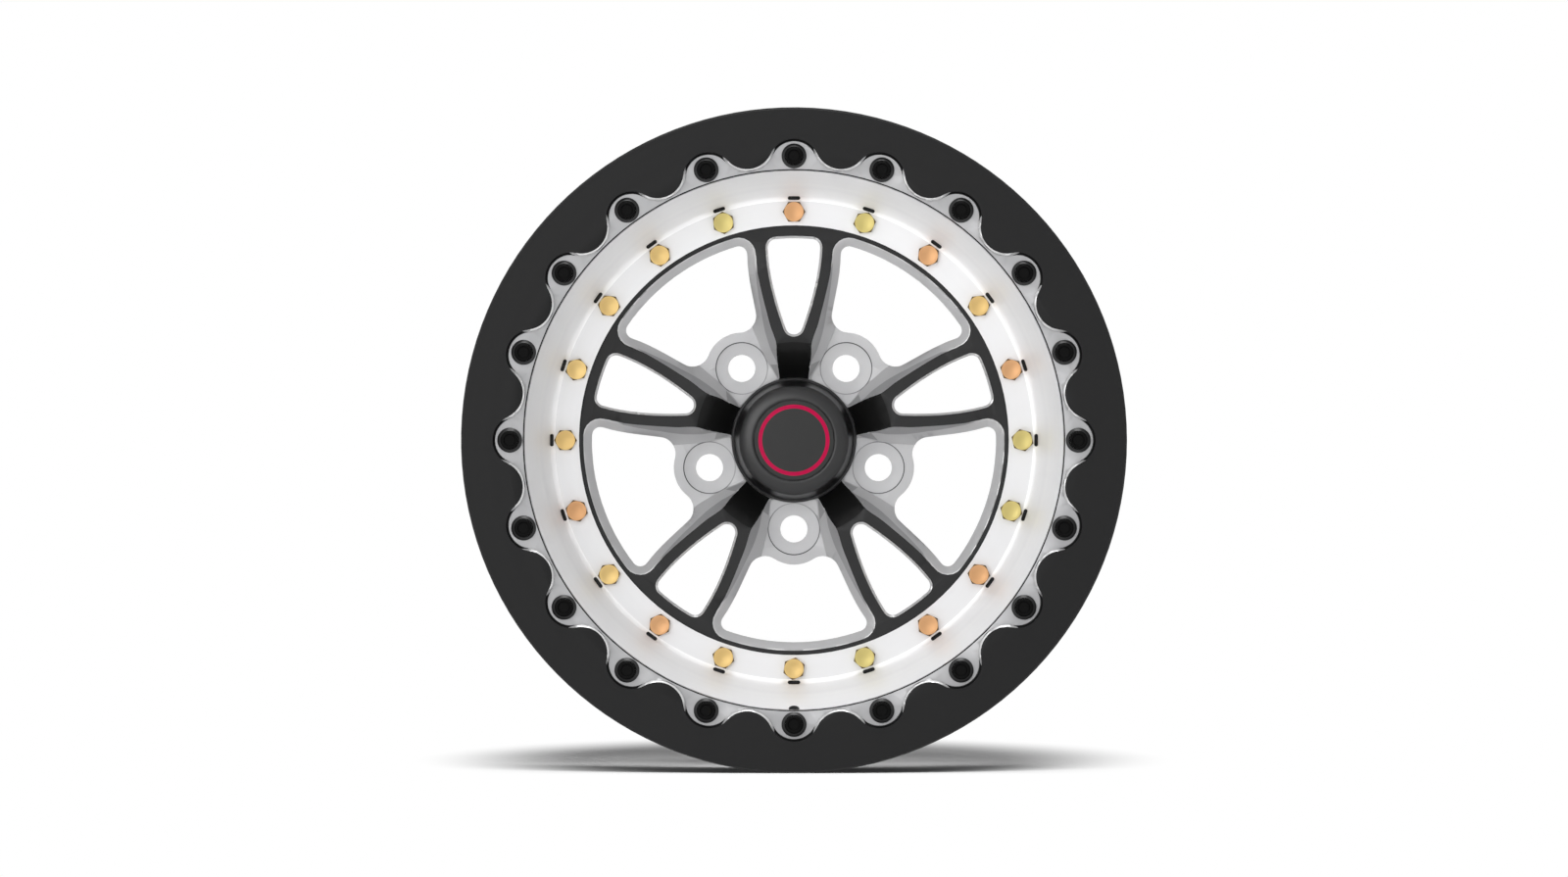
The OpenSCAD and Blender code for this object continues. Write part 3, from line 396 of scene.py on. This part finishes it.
def new_tree(name, sizes):
    """A Geometry Nodes tree with the object's own geometry first, then an input for each size."""
    tree = bpy.data.node_groups.new(name, "GeometryNodeTree")
    tree.interface.new_socket(name="Geometry", in_out="OUTPUT", socket_type="NodeSocketGeometry")
    tree.interface.new_socket(name="Start", in_out="INPUT", socket_type="NodeSocketGeometry")
    for size, kind in sizes.items():
        tree.interface.new_socket(name=size, in_out="INPUT", socket_type="NodeSocket" + kind)
    return tree, put(tree, "NodeGroupInput").outputs, put(tree, "NodeGroupOutput")


def grow(tree, curve, stations):
    """Fills an outline and grows it upwards. A station is the radius and height that the new rim goes
    to; the radius None leaves it where the outline has it."""
    base = put(tree, "GeometryNodeFillCurve", {"mode": "NGONS"}, Curve=curve).outputs["Mesh"]
    mesh, chosen = base, None
    spot = put(tree, "GeometryNodeInputPosition").outputs[0]
    parts = put(tree, "ShaderNodeSeparateXYZ", Vector=spot).outputs
    flat = put(tree, "ShaderNodeCombineXYZ", X=parts["X"], Y=parts["Y"]).outputs[0]
    reach = put(tree, "ShaderNodeVectorMath", {"operation": "LENGTH"}, i0=flat).outputs["Value"]
    way = put(tree, "ShaderNodeVectorMath", {"operation": "NORMALIZE"}, i0=flat).outputs["Vector"]
    for radius, height in stations:
        step = put(tree, "GeometryNodeExtrudeMesh", {"mode": "FACES"}, Mesh=mesh, Offset_Scale=0.0,
                   Individual=False)
        if chosen:
            tree.links.new(chosen, step.inputs["Selection"])
        mesh, chosen = step.outputs["Mesh"], step.outputs["Top"]
        if callable(height):
            height = height(reach)
        lift = put(tree, "ShaderNodeCombineXYZ", Z=height).outputs[0]
        out = flat
        if radius is not None:
            out = put(tree, "ShaderNodeVectorMath", {"operation": "SCALE"}, i0=way, Scale=radius).outputs[0]
        place = put(tree, "ShaderNodeVectorMath", {"operation": "ADD"}, i0=out, i1=lift)
        mesh = put(tree, "GeometryNodeSetPosition", Geometry=mesh, Selection=chosen,
                   Position=place.outputs["Vector"]).outputs[0]
    under = put(tree, "GeometryNodeFlipFaces", Mesh=base).outputs[0]
    whole = put(tree, "GeometryNodeJoinGeometry", Geometry=mesh)
    tree.links.new(under, whole.inputs[0])
    closed = put(tree, "GeometryNodeMergeByDistance", Geometry=whole.outputs[0], Distance=1e-7).outputs[0]
    return closed


def run_tree(obj, tree, values):
    """Sets the tree's inputs on the object and returns the finished plain mesh."""
    step = obj.modifiers.new(tree.name, "NODES")
    step.node_group = tree
    for item in tree.interface.items_tree:
        if item.in_out == "INPUT" and item.name in values:
            step[item.identifier] = values[item.name]
    obj = plain_mesh(obj)
    obj.data.shade_smooth()
    obj.data.set_sharp_from_angle(angle=math.radians(28))
    return obj


def bolt_tree():
    """A flange bolt grown from its sizes and set on every point, turned by the point's own angle. Six
    drive points with the valleys halfway along the flats make a plain hexagon."""
    tree, given, out = new_tree("bolts_round_the_wheel", {
        "Drive Points": "Int", "Drive Radius": "Float", "Valley Radius": "Float", "Drive Height": "Float",
        "Chamfer Radius": "Float", "Dish Radius": "Float", "Dish Depth": "Float", "Flange Radius": "Float",
        "Flange Edge": "Float", "Flange Top Radius": "Float", "Flange Height": "Float",
        "Shank Radius": "Float", "Grip": "Float", "Skin": "Material", "Dish Skin": "Material",
        "Corner Skin": "Material"})

    # The head's corners are turned off at 30 degrees, so a corner starts lower than a flat
    def under_chamfer(reach):
        past = put(tree, "ShaderNodeMath", {"operation": "SUBTRACT"}, i0=reach, i1=given["Chamfer Radius"])
        drop = put(tree, "ShaderNodeMath", {"operation": "MULTIPLY"}, i0=past.outputs[0], i1=CORNER_SLOPE)
        return put(tree, "ShaderNodeMath", {"operation": "SUBTRACT"}, i0=given["Drive Height"],
                   i1=drop.outputs[0]).outputs[0]

    star = put(tree, "GeometryNodeCurveStar", Points=given["Drive Points"],
               Inner_Radius=given["Valley Radius"], Outer_Radius=given["Drive Radius"])
    outline = put(tree, "GeometryNodeSubdivideCurve", Curve=star.outputs[0], Cuts=3).outputs[0]
    floor = put(tree, "ShaderNodeMath", {"operation": "SUBTRACT"}, i0=given["Drive Height"],
                i1=given["Dish Depth"]).outputs[0]
    foot = put(tree, "ShaderNodeMath", {"operation": "MULTIPLY"}, i0=given["Dish Radius"], i1=DISH_FOOT)
    drive = grow(tree, outline, [
        (None, under_chamfer), (given["Chamfer Radius"], given["Drive Height"]),
        (given["Dish Radius"], given["Drive Height"]), (foot.outputs[0], floor)])
    rim = put(tree, "GeometryNodeCurvePrimitiveCircle", Resolution=40, Radius=given["Flange Radius"])
    shoulder = put(tree, "ShaderNodeMath", {"operation": "SUBTRACT"}, i0=given["Flange Radius"],
                   i1=FLANGE_BREAK_IN)
    lip = put(tree, "ShaderNodeMath", {"operation": "ADD"}, i0=given["Flange Edge"],
              i1=FLANGE_BREAK_UP)
    flange = grow(tree, rim.outputs[0], [
        (None, given["Flange Edge"]), (shoulder.outputs[0], lip.outputs[0]),
        (given["Flange Top Radius"], given["Flange Height"])])
    shank = put(tree, "GeometryNodeMeshCylinder", Vertices=24, Radius=given["Shank Radius"],
                Depth=given["Grip"])
    half = put(tree, "ShaderNodeMath", {"operation": "MULTIPLY"}, i0=given["Grip"], i1=-0.5)
    sunk = put(tree, "ShaderNodeCombineXYZ", Z=half.outputs[0])
    shank = put(tree, "GeometryNodeTransform", Geometry=shank.outputs[0], Translation=sunk.outputs[0])
    bolt = put(tree, "GeometryNodeJoinGeometry", Geometry=drive)
    tree.links.new(flange, bolt.inputs[0])
    tree.links.new(shank.outputs[0], bolt.inputs[0])

    # The faces of the dish and of the turned corners are marked on the one bolt, before it is copied, so
    # that skins painted darker as shade and reflection can be set on them
    spot = put(tree, "GeometryNodeInputPosition").outputs[0]
    spot = put(tree, "ShaderNodeSeparateXYZ", Vector=spot).outputs
    flat = put(tree, "ShaderNodeCombineXYZ", X=spot["X"], Y=spot["Y"])
    reach = put(tree, "ShaderNodeVectorMath", {"operation": "LENGTH"}, i0=flat.outputs[0])
    inside = put(tree, "FunctionNodeCompare", {"data_type": "FLOAT", "operation": "LESS_THAN"},
                 i0=reach.outputs["Value"], i1=given["Chamfer Radius"])
    facing = put(tree, "GeometryNodeInputNormal").outputs[0]
    facing = put(tree, "ShaderNodeSeparateXYZ", Vector=facing).outputs["Z"]
    sloped = put(tree, "FunctionNodeCompare", {"data_type": "FLOAT", "operation": "EQUAL"}, i0=facing,
                 i1=CORNER_FACING)
    sloped.inputs["Epsilon"].default_value = CORNER_SPREAD
    aloft = put(tree, "FunctionNodeCompare", {"data_type": "FLOAT", "operation": "GREATER_THAN"},
                i0=spot["Z"], i1=given["Flange Height"])
    corner = put(tree, "FunctionNodeBooleanMath", {"operation": "AND"}, i0=sloped.outputs[0],
                 i1=aloft.outputs[0])
    marked = bolt.outputs[0]
    for part, chosen in (("dish", inside), ("corner", corner)):
        marked = put(tree, "GeometryNodeStoreNamedAttribute", {"data_type": "BOOLEAN", "domain": "FACE"},
                     Geometry=marked, Name=part, Value=chosen.outputs[0]).outputs[0]

    turn = put(tree, "GeometryNodeInputNamedAttribute", {"data_type": "FLOAT"}, Name="turn")
    stance = put(tree, "ShaderNodeCombineXYZ", X=math.pi / 2, Y=turn.outputs[0])
    copies = put(tree, "GeometryNodeInstanceOnPoints", Points=given["Start"], Instance=marked,
                 Rotation=stance.outputs[0])
    real = put(tree, "GeometryNodeRealizeInstances", Geometry=copies.outputs[0])
    skin = put(tree, "GeometryNodeSetMaterial", Geometry=real.outputs[0], Material=given["Skin"])
    for part in ("dish", "corner"):
        chosen = put(tree, "GeometryNodeInputNamedAttribute", {"data_type": "BOOLEAN"}, Name=part)
        skin = put(tree, "GeometryNodeSetMaterial", Geometry=skin.outputs[0], Selection=chosen.outputs[0],
                   Material=given[f"{part.title()} Skin"])
    tree.links.new(skin.outputs[0], out.inputs[0])
    return tree


def bolt_places(name, circle_r, height, clocks, turned):
    """Points on a bolt circle, each with the angle that turns a bolt to its place on the clock. The
    heads named in turned stand back from it by so many degrees."""
    angles = [math.tau * k / BOLTS for k in clocks]
    mesh = bpy.data.meshes.new(name)
    mesh.from_pydata([(circle_r * math.sin(a), -height, circle_r * math.cos(a)) for a in angles], [], [])
    turn = mesh.attributes.new("turn", "FLOAT", "POINT")
    for value, angle, k in zip(turn.data, angles, clocks):
        value.value = angle - math.radians(turned.get(k, 0))
    obj = bpy.data.objects.new(name, mesh)
    bpy.context.scene.collection.objects.link(obj)
    return obj


def set_bolts():
    tree = bolt_tree()
    for tone, plating in ZINC.items():
        clocks = [k for k in range(BOLTS) if TONES[k] == tone]
        obj = bolt_places(f"plated_bolts_{tone}", RIM_CIRCLE_R, SHELL_FACE, clocks, TURNED)
        obj = run_tree(obj, tree, {
            "Drive Points": 6, "Drive Radius": RIM_FLATS / math.sqrt(3), "Valley Radius": RIM_FLATS / 2,
            "Drive Height": RIM_HEAD, "Chamfer Radius": RIM_FLATS / 2 - 0.0001, "Dish Radius": 0.0042,
            "Dish Depth": 0.00012, "Flange Radius": RIM_FLATS / 2 - 0.00025, "Flange Edge": 0.0004,
            "Flange Top Radius": RIM_FLATS / 2 - 0.0008, "Flange Height": 0.0009,
            "Shank Radius": RIM_SHANK_D / 2, "Grip": RIM_GRIP, "Skin": plating, "Dish Skin": plating,
            "Corner Skin": ZINC_CORNER_PAINTED_REFLECTION})
        stand_for(obj, f"zinc_{tone}", f"rim_bolts_{tone}")
    obj = bolt_places("clamp_bolts", CLAMP_CIRCLE_R, POCKET_FLOOR, range(BOLTS), {})
    obj = run_tree(obj, tree, {
        "Drive Points": 12, "Drive Radius": CLAMP_FLATS / math.sqrt(3),
        "Valley Radius": CLAMP_FLATS / 2 / math.cos(math.radians(15)), "Drive Height": CLAMP_HEAD,
        "Chamfer Radius": 0.0049, "Dish Radius": 0.0040, "Dish Depth": 0.0009,
        "Flange Radius": CLAMP_FLANGE_R, "Flange Edge": 0.0009, "Flange Top Radius": 0.0061,
        "Flange Height": 0.00224, "Shank Radius": CLAMP_SHANK_D / 2, "Grip": CLAMP_GRIP,
        # The dished ends and turned corners are painted almost black as shade
        "Skin": BLACK_OXIDE, "Dish Skin": BLACK_END_PAINTED_SHADE, "Corner Skin": BLACK_END_PAINTED_SHADE})
    stand_for(obj, "black_fastener", "clamp_ring_bolts")


def weld_tree():
    """Ripples laid along the bead: flat drops of metal, each lapping the last."""
    tree, given, out = new_tree("weld_ripples", {
        "Ripple Count": "Int", "Bead Radius": "Float", "Bead Height": "Float", "Ripple Length": "Float",
        "Ripple Width": "Float", "Ripple Rise": "Float", "Lean": "Float", "Seed": "Int", "Skin": "Material"})
    index = put(tree, "GeometryNodeInputIndex").outputs[0]
    share = put(tree, "ShaderNodeMath", {"operation": "DIVIDE"}, i0=index, i1=given["Ripple Count"])
    angle = put(tree, "ShaderNodeMath", {"operation": "MULTIPLY"}, i0=share.outputs[0], i1=math.tau)
    angle = angle.outputs[0]
    across = put(tree, "ShaderNodeMath", {"operation": "SINE"}, i0=angle)
    up = put(tree, "ShaderNodeMath", {"operation": "COSINE"}, i0=angle)
    ring = put(tree, "ShaderNodeCombineXYZ", X=across.outputs[0], Z=up.outputs[0])
    ring = put(tree, "ShaderNodeVectorMath", {"operation": "SCALE"}, i0=ring.outputs[0],
               Scale=given["Bead Radius"])
    depth = put(tree, "ShaderNodeMath", {"operation": "MULTIPLY"}, i0=given["Bead Height"], i1=-1.0)
    depth = put(tree, "ShaderNodeCombineXYZ", Y=depth.outputs[0])
    place = put(tree, "ShaderNodeVectorMath", {"operation": "ADD"}, i0=ring.outputs[0], i1=depth.outputs[0])
    points = put(tree, "GeometryNodePoints", Count=given["Ripple Count"], Position=place.outputs[0])
    drop = put(tree, "GeometryNodeMeshUVSphere", Segments=10, Rings=5, Radius=0.5)
    uneven = put(tree, "FunctionNodeRandomValue", {"data_type": "FLOAT"}, i2=0.9, i3=1.1, Seed=given["Seed"])
    size = put(tree, "ShaderNodeCombineXYZ", X=given["Ripple Length"], Y=given["Ripple Width"],
               Z=given["Ripple Rise"])
    size = put(tree, "ShaderNodeVectorMath", {"operation": "SCALE"}, i0=size.outputs[0],
               Scale=uneven.outputs[1])
    stance = put(tree, "ShaderNodeCombineXYZ", X=given["Lean"], Y=angle)
    copies = put(tree, "GeometryNodeInstanceOnPoints", Points=points.outputs[0], Instance=drop.outputs[0],
                 Rotation=stance.outputs[0], Scale=size.outputs[0])
    real = put(tree, "GeometryNodeRealizeInstances", Geometry=copies.outputs[0])
    whole = put(tree, "GeometryNodeJoinGeometry", Geometry=given["Start"])
    tree.links.new(real.outputs[0], whole.inputs[0])
    skin = put(tree, "GeometryNodeSetMaterial", Geometry=whole.outputs[0], Material=given["Skin"])
    tree.links.new(skin.outputs[0], out.inputs[0])
    return tree


def lay_weld():
    obj = run_tree(smooth_copy("base_ring_weld", "ring_weld"), weld_tree(), {
        "Ripple Count": WELD_RIPPLES, "Bead Radius": WELD_R, "Bead Height": WELD_HEIGHT,
        "Ripple Length": 0.0052, "Ripple Width": 0.0082, "Ripple Rise": 0.0022,
        "Lean": math.radians(-47), "Seed": 7, "Skin": WELD})
    stand_for(obj, "weld_bead", "base_ring_weld")


set_bolts()
lay_weld()


# Floor, light and camera

# The studio's light from all round, as mirrors see it: its level at eye height, the rise towards the
# top, the fall towards the right, and the share of it that lights the wheel
SKY_LEVEL, SKY_RISE, SKY_FALL, SKY_SHARE = 0.86, 0.20, 0.16, 0.64
# The floor starts to glow and glows in full at these distances from the shadow's middle, counted by these
# scales across the wheel's face and along its axis
GLOW_START, GLOW_FULL = 0.30, 0.56
GLOW_SCALE, GLOW_SHIFT = (2.2, 0.35, 0.0), (0.0, -0.26, 0.0)

VIEW_DISTANCE = 20.0
# The photograph's frame is 1.0033 m wide at the wheel's outer edge. The wheel stands 10 pixels right of
# its middle and 2 below it.
FRAME_WIDTH, RIGHT_OF_AXIS, ABOVE_AXIS, FRONT_EDGE = 1.0033, -0.0064, 0.0011, 0.1388


def seen_rays(tree):
    """The light path, and 1 for what the camera, a mirror or glass shows."""
    path = put(tree, "ShaderNodeLightPath").outputs
    seen = put(tree, "ShaderNodeMath", {"operation": "ADD"}, i0=path["Is Camera Ray"],
               i1=path["Is Glossy Ray"])
    seen = put(tree, "ShaderNodeMath", {"operation": "ADD", "use_clamp": True}, i0=seen.outputs[0],
               i1=path["Is Transmission Ray"])
    return path, seen.outputs[0]


def lay_floor():
    """A floor that takes the wheel's shadow under its own softbox, and glows white like the backdrop
    farther off."""
    z, half = cad_box[0].z, 14.0
    corners = [(-half, -half, z), (half, -half, z), (half, half, z), (-half, half, z)]
    mesh = bpy.data.meshes.new("studio_floor")
    mesh.from_pydata(corners, [], [(0, 1, 2, 3)])
    floor = bpy.data.objects.new("studio_floor", mesh)
    bpy.context.scene.collection.objects.link(floor)
    mat, tree, out, where = new_material("white_studio_floor")
    seen = seen_rays(tree)[1]
    lit = put(tree, "ShaderNodeBsdfDiffuse", Color=linear("#6C6C6C"))
    # The glow is kept off the shadow behind the wheel, and towards the sides it paints the shadow away into
    # white
    reach = put(tree, "ShaderNodeVectorMath", {"operation": "MULTIPLY_ADD"}, i0=where, i1=GLOW_SCALE,
                i2=GLOW_SHIFT)
    away = put(tree, "ShaderNodeVectorMath", {"operation": "LENGTH"}, i0=reach.outputs[0])
    glow = put(tree, "ShaderNodeMapRange", {"interpolation_type": "SMOOTHSTEP"}, Value=away.outputs["Value"],
               From_Min=GLOW_START, From_Max=GLOW_FULL, To_Min=0.0, To_Max=1.0)
    glow = put(tree, "ShaderNodeMath", {"operation": "MULTIPLY"}, i0=seen, i1=glow.outputs[0])
    light = put(tree, "ShaderNodeEmission", Color=(1, 1, 1, 1), Strength=1.0)
    both = put(tree, "ShaderNodeMixShader", Fac=glow.outputs[0], i1=lit.outputs[0], i2=light.outputs[0])
    tree.links.new(both.outputs[0], out.inputs["Surface"])
    mesh.materials.append(mat)
    return floor


def light_studio():
    """A white studio. What mirrors it sees it a little brighter overhead and darker on the right."""
    world = bpy.data.worlds.new("studio")
    bpy.context.scene.world = world
    world.use_nodes = True
    tree = world.node_tree
    tree.nodes.clear()
    way = put(tree, "ShaderNodeTexCoord").outputs["Generated"]
    way = put(tree, "ShaderNodeSeparateXYZ", Vector=way).outputs
    up = put(tree, "ShaderNodeMath", {"operation": "MULTIPLY_ADD"}, i0=way["Z"], i1=SKY_RISE,
             i2=SKY_LEVEL)
    side = put(tree, "ShaderNodeMath", {"operation": "MULTIPLY_ADD"}, i0=way["X"], i1=-SKY_FALL,
               i2=up.outputs[0])
    path, seen = seen_rays(tree)
    share = put(tree, "ShaderNodeMapRange", Value=seen, To_Min=SKY_SHARE, To_Max=1.0)
    level = put(tree, "ShaderNodeMath", {"operation": "MULTIPLY"}, i0=side.outputs[0], i1=share.outputs[0])
    level = put(tree, "ShaderNodeMix", {"data_type": "FLOAT"}, Factor=path["Is Camera Ray"],
                i2=level.outputs[0], i3=1.0)
    sky = put(tree, "ShaderNodeBackground", Color=(1, 1, 1, 1), Strength=level.outputs[0])
    put(tree, "ShaderNodeOutputWorld", Surface=sky.outputs[0])


def hang_lamp(name, place, aim, size, power, only=None):
    """A softbox. One that lights only the floor still takes the wheel's shadow."""
    data = bpy.data.lights.new(name, "AREA")
    data.shape, data.size, data.size_y, data.energy = "RECTANGLE", size[0], size[1], power
    obj = bpy.data.objects.new(name, data)
    bpy.context.scene.collection.objects.link(obj)
    obj.location = place
    way = Vector([a - b for a, b in zip(aim, place)])
    obj.rotation_euler = way.to_track_quat("-Z", "Y").to_euler()
    if only:
        lit = bpy.data.collections.new(f"lit_by_{name}")
        lit.objects.link(only)
        obj.light_linking.receiver_collection = lit


def set_camera():
    data = bpy.data.cameras.new("camera")
    data.sensor_width = 36.0
    data.lens = data.sensor_width * (VIEW_DISTANCE - FRONT_EDGE) / FRAME_WIDTH
    data.clip_end = 60.0
    cam = bpy.data.objects.new("camera", data)
    bpy.context.scene.collection.objects.link(cam)
    cam.location = (RIGHT_OF_AXIS, -VIEW_DISTANCE, ABOVE_AXIS)
    cam.rotation_euler = (math.radians(90), 0, 0)
    bpy.context.scene.camera = cam


studio_floor = lay_floor()
light_studio()
hang_lamp("key_softbox", (-1.2, -3.2, 0.6), (0, 0, 0), (2.2, 2.2), 39)
hang_lamp("top_softbox", (0.0, -0.6, 2.1), (0, 0, 0), (1.2, 0.8), 24)
hang_lamp("floor_softbox", (0.2, -3.6, 1.1), (0, 0.1, -0.2), (0.9, 0.8), 2000, only=studio_floor)
set_camera()
bpy.context.scene.view_settings.view_transform = "Standard"
